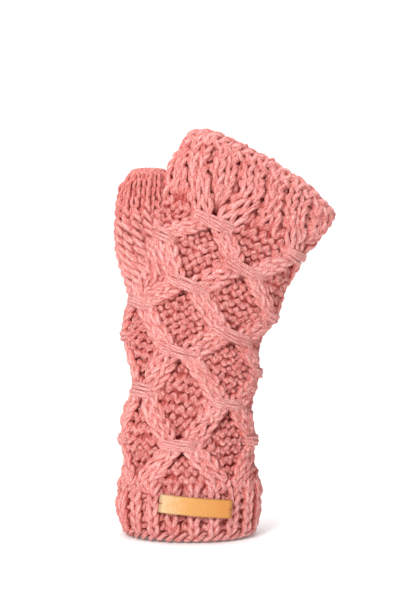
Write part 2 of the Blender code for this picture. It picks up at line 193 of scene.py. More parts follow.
yarn = {
    "radius": 1.36 * mm,      # of the spun yarn
    "sides": 8,               # faces round it
    "steps": 18,              # rings for each stitch
    "sink": 0.95 * mm,        # depth between the front and the back of a loop, halved
    "join": 0.22,             # share of a stitch over which it runs into the one beside it
    "ease": 0.2,              # and over which knit turns to purl
    "wander": (0.40 * mm, 0.13, 0.36 * mm),  # unevenness along the course, in courses, and in depth
    "thickness": 0.09,        # unevenness of the yarn's radius, as a share
    "levels": np.linspace(-1.5, 1.5, 7),     # heights over a course at which a loop's place is worked out
    "topShade": 0.6 * mm,     # height past which a loop's painted shade gets no lighter
    "liftShade": 0.2,         # share of a stitch's lift that its painted shade takes
}


def loopCourse(grid, places, starts, ends, kinds, lifts, radius, seed, tall, shingle, bulgeShare, bulgeMost,
               lean=0.0, cross=0.0, sink=yarn["sink"]):
    # One course: x = start + w*t/2pi + bulge*sin 2t - lean*height, height = -tall*cos t courses,
    # depth = -s*sink*cos 2t + cross*sin t - shingle*height, s = +1 knit, -1 purl;
    # places, starts, ends and lifts have a row for each of the yarn's levels
    steps, levels = yarn["steps"], yarn["levels"]
    count = len(kinds)
    part = np.tile(np.arange(steps) / steps, count)
    stitch = np.repeat(np.arange(count), steps)
    last, following = (stitch - 1) % count, (stitch + 1) % count
    beside = np.where(part < 0.5, last, following)
    weight = 0.5 + 0.5 * smoothStep(np.minimum(part, 1 - part) * 3)   # all its own in its middle third
    random = np.random.default_rng(seed)
    knots = random.normal(0, 1, (4, count, 2))            # at each sinker and each head

    def wander(row):
        # noise that runs from one knot to the next along a smooth step
        near = np.where(part < 0.5, knots[row, stitch, 0], knots[row, stitch, 1])
        far = np.where(part < 0.5, knots[row, stitch, 1], knots[row, following, 0])
        mix = smoothStep((part % 0.5) * 2)
        return np.clip(near * (1 - mix) + far * mix, -2, 2)

    def softened(values):
        # each stitch's value, halfway to its neighbour's where the two meet
        values = np.broadcast_to(values, (count,))
        return values[stitch] * weight + values[beside] * (1 - weight)

    high = -softened(tall) * np.cos(part * turn)
    height = high + yarn["wander"][1] * wander(1)
    level = np.clip((height - levels[0]) * 2, 0, len(levels) - 1)
    low = np.clip(np.floor(level).astype(int), 0, len(levels) - 2)
    mix = level - low

    def atLevel(table, column):
        # straight line between the two levels beside each ring's height
        return table[low, column] * (1 - mix) + table[low + 1, column] * mix

    place = np.interp(level, np.arange(len(places)), places)
    start, end = atLevel(starts, stitch), atLevel(ends, stitch)
    length = along(grid, "length", place)
    jumpIn = (atLevel(ends, last) - start + length / 2) % length - length / 2
    jumpOut = (atLevel(starts, following) - end + length / 2) % length - length / 2
    width = end - start
    bulge = np.minimum(np.abs(width) * softened(bulgeShare), softened(bulgeMost))
    arc = start + width * part + bulge * np.sin(2 * part * turn) - softened(lean) * high
    arc = (arc + jumpIn / 2 * (1 - smoothStep(part / yarn["join"]))
           + jumpOut / 2 * smoothStep((part - 1 + yarn["join"]) / yarn["join"]))
    ease = smoothStep(part / yarn["ease"]) * smoothStep((1 - part) / yarn["ease"])
    sign = kinds[stitch] * (1 + ease) / 2 + kinds[beside] * (1 - ease) / 2
    lift = atLevel(lifts, stitch) * weight + atLevel(lifts, beside) * (1 - weight)
    depth = -sign * softened(sink) * np.cos(2 * part * turn) + softened(cross) * np.sin(part * turn)
    depth = depth - softened(shingle) * high + yarn["wander"][2] * wander(2)
    radius = softened(radius)
    arc = arc + yarn["wander"][0] * wander(0)
    path, normal = onForm(grid, place, arc, lift + depth - yarn["sink"] - radius)
    # depth that the painted shade reads: a share of the stitch's lift plus the loop's own depth, no higher
    # than topShade
    sunk = yarn["liftShade"] * lift + np.minimum(depth, yarn["topShade"]) - yarn["sink"] - radius
    return path, normal, radius * (1 + yarn["thickness"] * wander(3)), sunk


def sweepYarn(path, normal, radius, sunk=-yarn["radius"], closed=True, keep=None, sides=yarn["sides"]):
    # tube: ring of points path + r*(cos a * side + sin a * up), side = tangent x normal, up = side x tangent
    count = len(path)
    if closed:
        tangent = np.roll(path, -1, axis=0) - np.roll(path, 1, axis=0)
        step = np.linalg.norm(np.roll(path, -1, axis=0) - path, axis=1)
    else:
        tangent = np.gradient(path, axis=0)
        step = np.append(np.linalg.norm(np.diff(path, axis=0), axis=1), 0)
    side = np.cross(tangent, normal)
    side /= np.linalg.norm(side, axis=1, keepdims=True) + 1e-12
    up = np.cross(side, tangent)
    up /= np.linalg.norm(up, axis=1, keepdims=True) + 1e-12
    angle = np.arange(sides) / sides * turn
    thick = np.broadcast_to(np.asarray(radius, float), (count,))[:, None, None]
    outward = thick * (np.cos(angle)[None, :, None] * side[:, None]
                       + np.sin(angle)[None, :, None] * up[:, None])
    length = np.concatenate([[0], np.cumsum(step)])
    kept = np.ones(count, bool) if keep is None else keep
    link = kept & np.roll(kept, -1)
    if not closed:
        link[-1] = False
    start = np.flatnonzero(link)
    after = (start + 1) % count
    k = np.arange(sides)
    ring, nextRing, beside = start[:, None] * sides, after[:, None] * sides, (k + 1) % sides
    quads = np.stack([ring + k, nextRing + k, nextRing + beside, ring + beside], axis=2)
    alongStart = np.repeat(length[start][:, None], sides, axis=1)
    alongEnd = np.repeat(length[start + 1][:, None], sides, axis=1)
    roundStart, roundEnd = (np.broadcast_to((k + shift) / sides, alongStart.shape) for shift in (0, 1))
    uv = np.stack([np.stack([alongStart, alongEnd, alongEnd, alongStart], axis=2),
                   np.stack([roundStart, roundStart, roundEnd, roundEnd], axis=2)], axis=3)
    first = np.flatnonzero(link & ~np.roll(link, 1))
    last = (np.flatnonzero(link & ~np.roll(link, -1)) + 1) % count
    caps = np.concatenate([first[:, None] * sides + k, last[:, None] * sides + k[::-1]])
    # depth that the painted shade reads, deeper on the side of the tube towards the form
    deep = np.repeat(np.broadcast_to(np.asarray(sunk, float), (count,)), sides)
    deep = deep + (np.sin(angle)[None, :] * thick[:, 0]).reshape(-1)
    return {"points": (path[:, None] + outward).reshape(-1, 3), "quads": quads.reshape(-1, 4),
            "uv": uv.reshape(-1, 2), "caps": caps, "deep": deep, "outward": outward.reshape(-1, 3)}


def rawMesh(name, points, corners, sizes, uv, deep, material):
    # whole arrays into one mesh: points, corners of all faces in a row, corners a face, UV, depth in the yarn
    mesh = bpy.data.meshes.new(name)
    mesh.vertices.add(len(points))
    mesh.vertices.foreach_set("co", points.astype(np.float32).reshape(-1))
    mesh.loops.add(len(corners))
    mesh.loops.foreach_set("vertex_index", corners.astype(np.int32))
    mesh.polygons.add(len(sizes))
    mesh.polygons.foreach_set("loop_start", np.concatenate([[0], np.cumsum(sizes)[:-1]]).astype(np.int32))
    mesh.uv_layers.new(name="yarnWay").data.foreach_set("uv", uv.astype(np.float32).reshape(-1))
    depth = mesh.attributes.new("yarnDepth", "FLOAT", "POINT")
    depth.data.foreach_set("value", (deep / mm).astype(np.float32))
    mesh.update(calc_edges=True)
    mesh.validate()
    mesh.shade_smooth()
    mesh.materials.append(material)
    piece = bpy.data.objects.new(name, mesh)
    bpy.context.scene.collection.objects.link(piece)
    return piece


def meshFrom(name, parts, material):
    # joins tubes into one mesh, drops points no face uses, and keeps (length along, share round) as the UV
    shifts = np.cumsum([0] + [len(part["points"]) for part in parts])
    points, deep, uv = (np.concatenate([part[key] for part in parts]) for key in ("points", "deep", "uv"))
    quads = np.concatenate([part["quads"] + shift for part, shift in zip(parts, shifts)])
    corners, sizes = [quads.reshape(-1)], [np.full(len(quads), 4)]
    for part, shift in zip(parts, shifts):
        cap = part["caps"]
        corners.append((cap + shift).reshape(-1))
        sizes.append(np.full(len(cap), cap.shape[1]))
    corners, sizes = np.concatenate(corners), np.concatenate(sizes)
    uv = np.concatenate([uv, np.zeros((len(corners) - quads.size, 2))])
    used = np.zeros(len(points), bool)
    used[corners] = True
    renumber = np.cumsum(used) - 1
    return rawMesh(name, points[used], renumber[corners], sizes, uv, deep[used], material)


def node(tree, kind, **settings):
    # settings are sockets or, where there is no such socket, properties
    made = tree.nodes.new(kind)
    for key, value in settings.items():
        if key in made.inputs:
            made.inputs[key].default_value = value
        else:
            setattr(made, key, value)
    return made


def maths(tree, operation, *values):
    # values are numbers or sockets
    made = node(tree, "ShaderNodeMath", operation=operation)
    for socket, value in zip(made.inputs, values):
        if isinstance(value, (int, float)):
            socket.default_value = value
        else:
            tree.links.new(value, socket)
    return made.outputs[0]


def noiseOn(tree, place, **settings):
    made = node(tree, "ShaderNodeTexNoise", **settings)
    tree.links.new(place, made.inputs["Vector"])
    return made.outputs["Fac"]


def stretched(tree, value, lowest, highest, bottom=0.0, top=1.0):
    # value from lowest to highest becomes bottom to top
    made = node(tree, "ShaderNodeMapRange")
    for key, limit in (("From Min", lowest), ("From Max", highest), ("To Min", bottom), ("To Max", top)):
        made.inputs[key].default_value = limit
    tree.links.new(value, made.inputs["Value"])
    return made.outputs[0]


def blended(tree, value, *stops):
    # colours at positions, the first and the last given before the ones between
    made = node(tree, "ShaderNodeValToRGB")
    elements = made.color_ramp.elements
    for element, (position, colour) in zip(elements, stops[:2]):
        element.position, element.color = position, (*colour, 1)
    for position, colour in stops[2:]:
        elements.new(position).color = (*colour, 1)
    tree.links.new(value, made.inputs["Fac"])
    return made.outputs["Color"]


spun = {
    "fibreScale": 2300.0, "fibreStretch": 0.16,   # of the fibres' noise, and its way along the yarn
    "fuzzScale": 1500.0,
    "heights": (1.1, 0.6),                        # of fibres and of fuzz
    "shades": (0.15, 0.7, 0.9),                   # of grooves, fibres and fuzz; the grooves' share is painted shade between the plies
    "dyeScale": 45.0, "dye": 0.2,                 # of the noise of uneven dye, and its share of the shade
    "shadeShift": -0.215,                         # added to the shade
    "darkAt": 0.50, "colourAt": 0.72, "lightAt": 0.94,     # shades of the fibre's colours
    "halfwayAt": 0.55,                            # of the way up from the deepest
}


def strandGroup():
    # Plied, twisted yarn along its own UV: angle = 2 pi (round + length / twist), grooves =
    # |sin(plies / 2 * angle)|, fibres = noise stretched along that angle; puts out a height and a shade, in
    # which the grooves darken as painted shade between the plies and fibres and fuzz vary the wool's own tone
    tree = bpy.data.node_groups.new("spunStrand", "ShaderNodeTree")
    for name, value in (("Twist Length", 0.009), ("Plies", 3.0), ("Groove Depth", 0.5)):
        tree.interface.new_socket(name, in_out="INPUT", socket_type="NodeSocketFloat").default_value = value
    for name in ("Height", "Shade"):
        tree.interface.new_socket(name, in_out="OUTPUT", socket_type="NodeSocketFloat")
    given, out = node(tree, "NodeGroupInput"), node(tree, "NodeGroupOutput")
    way = node(tree, "ShaderNodeUVMap", uv_map="yarnWay")
    parts = node(tree, "ShaderNodeSeparateXYZ")
    tree.links.new(way.outputs[0], parts.inputs[0])
    twisted = maths(tree, "DIVIDE", parts.outputs["X"], given.outputs["Twist Length"])
    angle = maths(tree, "MULTIPLY", maths(tree, "ADD", parts.outputs["Y"], twisted), turn)
    halfPlies = maths(tree, "MULTIPLY", given.outputs["Plies"], 0.5)
    groove = maths(tree, "ABSOLUTE", maths(tree, "SINE", maths(tree, "MULTIPLY", angle, halfPlies)))
    fibreWay = node(tree, "ShaderNodeCombineXYZ")
    tree.links.new(maths(tree, "MULTIPLY", parts.outputs["X"], spun["fibreStretch"]), fibreWay.inputs[0])
    for axis, wave in ((1, "COSINE"), (2, "SINE")):
        around = maths(tree, "MULTIPLY", maths(tree, wave, angle), yarn["radius"])
        tree.links.new(around, fibreWay.inputs[axis])
    fibres = noiseOn(tree, fibreWay.outputs[0], Scale=spun["fibreScale"], Detail=3.0, Roughness=0.65)
    place = node(tree, "ShaderNodeTexCoord")
    fuzz = noiseOn(tree, place.outputs["Object"], Scale=spun["fuzzScale"], Detail=2.0, Roughness=0.6)
    height = maths(tree, "MULTIPLY", groove, given.outputs["Groove Depth"])
    height = maths(tree, "MULTIPLY_ADD", fibres, spun["heights"][0], height)
    height = maths(tree, "MULTIPLY_ADD", fuzz, spun["heights"][1], height)
    shade = maths(tree, "MULTIPLY", fibres, spun["shades"][1])
    shade = maths(tree, "MULTIPLY_ADD", groove, spun["shades"][0], shade)
    shade = maths(tree, "MULTIPLY_ADD", fuzz, spun["shades"][2], shade)
    tree.links.new(height, out.inputs["Height"])
    tree.links.new(shade, out.inputs["Shade"])
    return tree


strand = strandGroup()
white = (1.0, 1.0, 1.0)
# Looks: colours of a fibre from dark over colour to light, tints of painted shade on the deepest yarn and on
# yarn halfway up, mm of the deepest and of where the painted shade ends, length of one twist, and strengths
# of its grooves and bumps
woolLook = {
    "colour": (0.78, 0.262, 0.24), "dark": (0.50, 0.09, 0.08), "light": (0.97, 0.54, 0.50),
    "shadow": (0.62, 0.20, 0.18), "halfway": (0.93, 0.65, 0.62), "sunk": (-4.0, -0.5),
    "twist": 26 * mm, "groove": 0.35, "bump": 1.0,
}
fuzzLook = {
    "colour": (0.80, 0.29, 0.265), "dark": (0.70, 0.21, 0.19), "light": (0.92, 0.44, 0.40),
    "shadow": white, "halfway": white, "sunk": (-5.0, -1.0),
    "twist": 26 * mm, "groove": 0.0, "bump": 0.0,
}
# dark wool of the sheet behind the yarn, whose colour is painted shade where the holes between stitches show
# it, and of the tag's thread, whose own colour it is
paintedShadeAndThreadLook = {
    "colour": (0.44, 0.080, 0.070), "dark": (0.36, 0.056, 0.05), "light": (0.54, 0.115, 0.10),
    "shadow": white, "halfway": white, "sunk": (-5.0, -1.0),
    "twist": 9 * mm, "groove": 0.5, "bump": 0.5,
}
woolSurface = {"Roughness": 0.9, "Specular IOR Level": 0.2, "Sheen Weight": 0.18, "Sheen Roughness": 0.45,
               "Sheen Tint": (1.0, 0.72, 0.68, 1)}


def woolMaterial(name, look):
    # colour = ramp(strand's shade + dye noise) * tint(depth under the form); the tint is painted shade,
    # darker and redder on yarn that lies deeper
    material = bpy.data.materials.new(name)
    material.use_nodes = True
    tree = material.node_tree
    shader = tree.nodes["Principled BSDF"]
    twisted = node(tree, "ShaderNodeGroup", node_tree=strand)
    twisted.inputs["Twist Length"].default_value = look["twist"]
    twisted.inputs["Groove Depth"].default_value = look["groove"]
    place = node(tree, "ShaderNodeTexCoord")
    dye = noiseOn(tree, place.outputs["Object"], Scale=spun["dyeScale"], Detail=2.0)
    shade = maths(tree, "ADD", twisted.outputs["Shade"], spun["shadeShift"])
    shade = maths(tree, "MULTIPLY_ADD", dye, spun["dye"], shade)
    fibre = blended(tree, shade, (spun["darkAt"], look["dark"]), (spun["lightAt"], look["light"]),
                    (spun["colourAt"], look["colour"]))
    # painted shade: the deeper the yarn lies under the form, the darker and redder its tint
    depth = node(tree, "ShaderNodeAttribute", attribute_name="yarnDepth")
    hollow = stretched(tree, depth.outputs["Fac"], *look["sunk"])
    tint = blended(tree, hollow, (0.0, look["shadow"]), (1.0, white), (spun["halfwayAt"], look["halfway"]))
    shaded = node(tree, "ShaderNodeMix", data_type="RGBA", blend_type="MULTIPLY")
    shaded.inputs["Factor"].default_value = 1.0
    tree.links.new(fibre, shaded.inputs[6])
    tree.links.new(tint, shaded.inputs[7])
    tree.links.new(shaded.outputs[2], shader.inputs["Base Color"])
    bump = node(tree, "ShaderNodeBump", Strength=look["bump"], Distance=0.6 * mm)
    tree.links.new(twisted.outputs["Height"], bump.inputs["Height"])
    tree.links.new(bump.outputs[0], shader.inputs["Normal"])
    for key, value in woolSurface.items():
        shader.inputs[key].default_value = value
    return material


wool = woolMaterial("coralWool", woolLook)
woolFuzz = woolMaterial("coralWoolFuzz", fuzzLook)
paintedShadeAndThreadWool = woolMaterial("coralWoolPaintedShadeAndThread", paintedShadeAndThreadLook)
print("wool ready")


def knitted(name, parts, nodeNames=()):
    # a piece of bare yarn, and the nodes whose place it takes
    piece = meshFrom(name, parts, wool)
    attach(piece, "root")
    if nodeNames:
        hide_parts(*nodeNames)
    print(name, "has", sum(len(part["quads"]) * 2 for part in parts), "triangles")
    return piece


wrist = {
    "stitches": 40, "courses": 5, "firstZ": 3.4 * mm, "lastZ": 30.4 * mm,
    "knitWidth": 0.54,        # share of the knit stitch in a pair
    "phase": 2.6 * mm,        # arc of the middle of one knit stitch
    "bulge": (0.4, 1.45 * mm), "radius": 1.5 * mm, "tall": 0.84, "shingle": 0.3 * mm,
    "tuck": 2.4 * mm, "tuckOver": 0.7,         # by which the last course goes in, over how much of it
    "purlDrop": 4.3 * mm,
    "clothIn": (0.6, 0.4),    # share of a knit stitch past which its cloth goes in, over how much of a pair
    "seed": 0,
}


def armPlace(height):
    # section number of the arm at a height, where the sections are level
    heights = np.array(armForm["sections"])[:levelSections, 1] * mm
    return np.interp(height, heights, np.arange(levelSections))


def wristCourses():
    # knit and purl by turns: stitch edges at phase + pair * length / pairs, purls pushed in by the purl drop
    step = (wrist["lastZ"] - wrist["firstZ"]) / wrist["courses"]
    pairs = wrist["stitches"] // 2
    kinds = np.tile([1.0, -1.0], pairs)
    parts = []
    for course in range(wrist["courses"]):
        level = wrist["firstZ"] + step * (course + 0.5 + yarn["levels"])
        place = np.where(level < 0, level / hemHeight, armPlace(level))
        length = along(arm, "length", place)[:, None]
        pair = np.arange(pairs + 1) - 0.5 * wrist["knitWidth"]
        marks = np.sort(np.concatenate([pair[:-1], pair[:-1] + wrist["knitWidth"], pair[-1:]]))
        lines = wrist["phase"] + marks[None, :] * length / pairs
        lifts = np.tile(np.where(kinds > 0, 0.0, -wrist["purlDrop"]), (len(level), 1))
        if course == wrist["courses"] - 1:
            lifts = lifts - wrist["tuck"] * smoothStep(yarn["levels"] / wrist["tuckOver"])[:, None]
        made = loopCourse(arm, place, lines[:, :-1], lines[:, 1:], kinds, lifts, wrist["radius"],
                          wrist["seed"] + course, wrist["tall"], wrist["shingle"], *wrist["bulge"])
        parts.append(sweepYarn(*made))
    return parts


lattice = {  # places along the arm are tie rows, places round it are columns
    "columns": 8,             # ribs round the arm, and places of ties in two tie rows
    "firstColumn": -2,
    "offset": -3.5 * mm,      # of tie column 0 from the front's middle
    "swing": 0.287,           # how far a tie pulls a rib from its home, in columns
    "softness": 0.97,         # 1 bends the bands sharply at the ties
    "lastRow": 6,             # of ties; past it the bands' wave is
    "lastStretch": 1.2,       # this much longer
    "ribWidth": 0.51,         # of a rib of two stitches, in columns
    "pinch": 0.2,             # share by which it is narrower at the ties
    "fingerPinch": (0.17, 6.1, 0.5),           # and in the finger rib, from which tie row, over how many
    "ribTall": 0.72,          # half the height of its loops, in courses
    "ribRadius": 1.55 * mm,   # of its yarn
    "ribBulge": (0.3, 1.8 * mm),               # of a loop's head, in stitch widths and at most
    "ribCross": 0.0,          # by which a loop's first leg stands out before its second
    "shingle": 0.5 * mm,      # by which a knit stitch leans out over the one below
    # tables by tie row: columns that the front's stretch moves a stitch, mm that the columns move, less
    # than 0 towards the thumb, and courses for one tie row from there on
    "spread": ((0.0, 0.0), (1.0, 0.1), (2.0, 0.2), (3.0, 0.33), (4.0, 0.38), (5.0, 0.4), (6.0, 0.4),
               (7.45, 0.25)),
    "twist": ((6.0, 0.0), (6.3, -2.0), (7.2, -12.5), (7.8, -15.0)),
    "rowCourses": ((-1.03, 4.1), (0.0, 4.4), (3.0, 3.9), (6.0, 3.8), (7.45, 0.0)),
    "spreadFrom": 0.8,        # column that the stretch moves nowhere
    "groundCounts": (5, 5, 5, 5, 4, 4, 4, 4),  # stitches between two ribs, from the thumb over the front
    "groundStitch": 4.8 * mm, # narrowest stitch of the ground; the rest tuck in under the ribs
    "groundTall": 0.8, "groundRadius": 1.44 * mm, "groundSink": 1.55 * mm, "groundBulge": (0.0, 0.0),
    "fingerRow": 6.35,        # from which the ground turns into ribs
    "fingerOver": 0.3,        # over how many tie rows
    "fingerFade": (0.85, 0.9),                 # share of the wave that ends there, over how many
    "fingerMarks": (-2.0, -1.15, 0.0, 1.15, 2.0),          # edges of its four stitches between two ribs
    "fingerTall": 0.76, "fingerRadius": 1.52 * mm, "fingerBulge": (0.38, 1.6 * mm), "fingerCross": -0.45 * mm,
    # tie rows between which plain stitches lie beside the thumb, how many, and where the first rib joins them
    "besideThumb": (3.0, 5.0), "besideCount": 3, "besideCoarse": (3.3, 4.7),
    "seed": 100,
}
gussetKnit = {
    "free": (2.5, 0.9),       # tie row from which the ribs beside it swing no more towards it, over how many
    "from": 2.7,              # tie row where it starts
    "leastGap": 15 * mm,      # between the ribs beside it, past which it gets its stitches two by two
    "stretchFrom": (5.75, 0.5),                # column where the form's extra width goes in, over how many
    "stitch": 6.6 * mm, "tall": 0.74, "lean": 1.5 * mm, "cross": 1.0 * mm,
    "radius": 1.36 * mm, "drop": 0.9 * mm,
}
relief = {
    "tieRows": (-0.55, 6.45),  # between which stitches are drawn in by ties
    "tieDrop": 0.9 * mm,       # of a rib under its tie
    "dip": 0.17,               # height of that and of the hole below it, in tie rows
    "below": 0.22, "above": 0.2, "aboveDip": 0.15, "aboveShare": 0.6,   # of the holes below and above a tie
    "holeDrop": 2.6 * mm,      # of the ground there
    "holeGap": 9 * mm,         # between two ribs, under which there is a hole
    "groundDrop": 2.7 * mm,    # of the purled ground under the bands
    "leastGround": 0.7,        # share of it where the lattice's relief ends
    "tuckDrop": 1.3 * mm,      # more of it where stitches tuck in under the ribs
    "tuckStitches": 4,         # for which the gap is too narrow there
    "fingerKnit": -0.2 * mm, "fingerPurl": -2.9 * mm,
    "flatFrom": (4.6, 0.8),    # tie row where the thumb's side gets flatter, over how many
    "flatShare": 0.9,          # and by what share
}


def tieWave(row):
    # triangle wave asin(k cos(pi t)) / asin(k), 1 at even tie rows and -1 at odd ones
    k = lattice["softness"]
    return np.arcsin(k * np.cos(math.pi * row)) / math.asin(k)


def frontWay(column):
    # angle from the column about which the front is stretched
    return (column - lattice["spreadFrom"]) * turn / lattice["columns"]


def gapPlan(tieRow, gusset):
    # the stitches between each rib and the next, +1 knit and -1 purl
    isFinger = tieRow >= lattice["fingerRow"]
    plan = [[-1, 1, 1, -1] if isFinger else [-1] * count for count in lattice["groundCounts"]]
    if lattice["besideThumb"][0] < tieRow < lattice["besideThumb"][1]:
        plan[0] = [1] * lattice["besideCount"]
    if gusset:
        plan[-1] = [-1, -1] + [1] * gusset + [-1, -1]
    return plan


def latticeLines(place, plan, gusset):
    # Arc of every stitch edge at these places: middle of rib i = i + 1/2 - swing * (-1)^i * wave, in columns,
    # and the plan's stitches share the gap between two ribs
    tieRow = np.interp(place, arm["places"], arm["tieRow"])
    count, lastRow = lattice["columns"], lattice["lastRow"]
    run = np.where(tieRow > lastRow, lastRow + (tieRow - lastRow) / lattice["lastStretch"], tieRow)
    fade, over = lattice["fingerFade"]
    wave = tieWave(run) * (1 - fade * smoothStep((tieRow - lattice["fingerRow"]) / over))
    free = smoothStep((tieRow - gussetKnit["free"][0]) / gussetKnit["free"][1])
    length, share = along(arm, "length", place), along(arm, "share", place)
    pitch = length * share / count
    extra = length / pitch - count
    spread = np.interp(tieRow, *np.transpose(lattice["spread"]))
    ribs = np.arange(count) + lattice["firstColumn"]
    waves = np.repeat(wave[:, None], count, axis=1)
    for side in (0, -1):
        waves[:, side] = np.where(waves[:, side] > 0, waves[:, side] * (1 - free), waves[:, side])
    middles = ribs + 0.5 - lattice["swing"] * (-1.0) ** ribs * waves
    middles = np.concatenate([middles, middles[:, :1] + count], axis=1)
    twist = np.interp(tieRow, *np.transpose(lattice["twist"])) * mm
    widerFrom, wideOver = gussetKnit["stretchFrom"]

    def arcs(column):
        warped = column + spread[:, None] * np.sin(frontWay(column))
        warped = warped + extra[:, None] * np.clip((column - widerFrom) / wideOver, 0, 1)
        return lattice["offset"] + twist[:, None] + warped * pitch[:, None]

    pinch, pinchFrom, pinchOver = lattice["fingerPinch"]
    narrowed = np.maximum(lattice["pinch"] * np.abs(wave) ** 3,
                          pinch * smoothStep((tieRow - pinchFrom) / pinchOver))
    half = lattice["ribWidth"] / 2 * (1 - narrowed)[:, None]
    low, middle, high = arcs(middles - half), arcs(middles), arcs(middles + half)
    starts, ends, gaps = [], [], []
    for rib in range(count):
        gap = low[:, rib + 1] - high[:, rib]
        starts += [low[:, rib], middle[:, rib]]
        ends += [middle[:, rib], high[:, rib]]
        between = len(plan[rib])
        if rib < count - 1 or gusset == 0:
            centre, width = (low[:, rib + 1] + high[:, rib]) / 2, gap / between
            marks = np.arange(between + 1) - between / 2
            if max(plan[rib]) < 0:
                width = np.maximum(width, lattice["groundStitch"])
            elif min(plan[rib]) < 0:
                marks = lattice["fingerMarks"]
            starts += [centre + mark * width for mark in marks[:-1]]
            ends += [centre + mark * width for mark in marks[1:]]
        else:
            side = (gap - gusset * gussetKnit["stitch"]) / 4      # two purl stitches on either side
            widths = [side, side] + [np.full_like(side, gussetKnit["stitch"])] * gusset + [side, side]
            line = high[:, rib]
            for width in widths:
                starts.append(line)
                line = line + width
                ends.append(line)
        gaps += [gap] * (between + 2)
    return np.stack(starts, axis=1), np.stack(ends, axis=1), np.stack(gaps, axis=1), tieRow


def latticeKinds(tieRow, plan):
    # each stitch of a course: +1 knit or -1 purl, whether it is of a rib, whether it is coarse, at the thumb
    kinds = np.concatenate([[1, 1] + gap for gap in plan]).astype(float)
    ribs = np.concatenate([[True, True] + [False] * len(gap) for gap in plan])
    coarse = (kinds > 0) & ~ribs & (tieRow < lattice["fingerRow"])
    if lattice["besideCoarse"][0] < tieRow < lattice["besideCoarse"][1]:
        coarse[:2], ribs[:2] = True, False
    return kinds, ribs, coarse


def latticeLift(gaps, tieRow, kinds, ribs, coarse):
    # Lift of each stitch off the form: ribs dip under ties as exp(-(rows / dip)^2), the ground lies lower,
    # and lowest below and above a tie where the gap is shut
    shown = np.interp(tieRow, arm["tieRow"], arm["relief"])[:, None]
    fromTie = tieRow - np.round(tieRow)
    isTied = (tieRow < relief["tieRows"][1]) & (tieRow > relief["tieRows"][0])
    dips = ((0, relief["dip"]), (relief["below"], relief["dip"]), (-relief["above"], relief["aboveDip"]))
    tied, under, over = ((np.exp(-((fromTie + shift) / dip) ** 2) * isTied)[:, None] for shift, dip in dips)
    narrow = np.clip(1 - gaps / (relief["tuckStitches"] * lattice["groundStitch"]), 0, 1)
    shut = np.clip(1 - gaps / relief["holeGap"], 0, 1)
    ground = (-relief["groundDrop"] * np.maximum(shown, relief["leastGround"]) - relief["tuckDrop"] * narrow
              - relief["holeDrop"] * shut**0.5 * np.maximum(under, relief["aboveShare"] * over))
    plain = np.where(kinds > 0, relief["fingerKnit"], relief["fingerPurl"]) - relief["tuckDrop"] * narrow
    finger = smoothStep((tieRow - lattice["fingerRow"]) / lattice["fingerOver"])[:, None]
    lift = np.where(ribs, -relief["tieDrop"] * tied, ground * (1 - finger) + plain * finger)
    lift = np.where(coarse, -gussetKnit["drop"], lift)
    besideGusset = np.arange(len(kinds)) >= np.flatnonzero(ribs)[-1] + 1
    flat = smoothStep((tieRow - relief["flatFrom"][0]) / relief["flatFrom"][1])[:, None] * besideGusset
    return lift * (1 - relief["flatShare"] * flat)


def courseRows(level):
    # tie row at course numbers, whole or not, by the table of courses for a tie row; and the last course
    rows, counts = np.transpose(lattice["rowCourses"])
    total = np.concatenate([[0], np.cumsum(np.diff(rows) * counts[:-1])])
    tieRow = np.interp(level, total, rows)
    tieRow = np.where(level < 0, rows[0] + level / counts[0], tieRow)
    return np.where(level > total[-1], rows[-1] + (level - total[-1]) / counts[-2], tieRow), round(total[-1])


def gussetCount(place):
    # stitches of the gusset, an even number that fills the gap beside the thumb
    gaps, tieRow = latticeLines(np.array([place]), gapPlan(0, 0), 0)[2:]
    if tieRow[0] < gussetKnit["from"]:
        return 0
    return max(0, 2 * round((gaps[0, -1] - gussetKnit["leastGap"]) / (2 * gussetKnit["stitch"])))


def latticeCourses():
    # each course with its tie row: loops on the lattice's lines, sized by what kind of stitch each one is
    made = []
    middle = len(yarn["levels"]) // 2
    for number in range(courseRows(0.0)[1] + 1):
        tieRow = courseRows(number + yarn["levels"])[0]
        place = np.interp(tieRow, arm["tieRow"], arm["places"])
        gusset = gussetCount(place[middle])
        kind = "finger" if tieRow[middle] > lattice["fingerRow"] else "rib"
        plan = gapPlan(tieRow[middle], gusset)
        starts, ends, gaps, tieRow = latticeLines(place, plan, gusset)
        kinds, ribs, coarse = latticeKinds(tieRow[middle], plan)
        lifts = latticeLift(gaps, tieRow, kinds, ribs, coarse)
        knit = kinds > 0

        def sized(ofKnit, ofPurl, ofCoarse):
            return np.where(coarse, ofCoarse, np.where(knit, ofKnit, ofPurl))

        tall = sized(lattice[kind + "Tall"], lattice["groundTall"], gussetKnit["tall"])
        thick = sized(lattice[kind + "Radius"], lattice["groundRadius"], gussetKnit["radius"])
        bulge = [np.where(knit, one, other)
                 for one, other in zip(lattice[kind + "Bulge"], lattice["groundBulge"])]
        cross = sized(lattice[kind + "Cross"], 0.0, gussetKnit["cross"])
        shingle, lean = np.where(knit, lattice["shingle"], 0.0), np.where(coarse, gussetKnit["lean"], 0.0)
        course = loopCourse(arm, place, starts, ends, kinds, lifts, thick, lattice["seed"] + number, tall,
                            shingle, *bulge, lean, cross, np.where(knit, yarn["sink"], lattice["groundSink"]))
        hidden = depthInside(thumb, course[0], junction["thumb"]) > junction["yarnDeep"]
        made.append((tieRow[middle], sweepYarn(*course, keep=~hidden)))
    return made


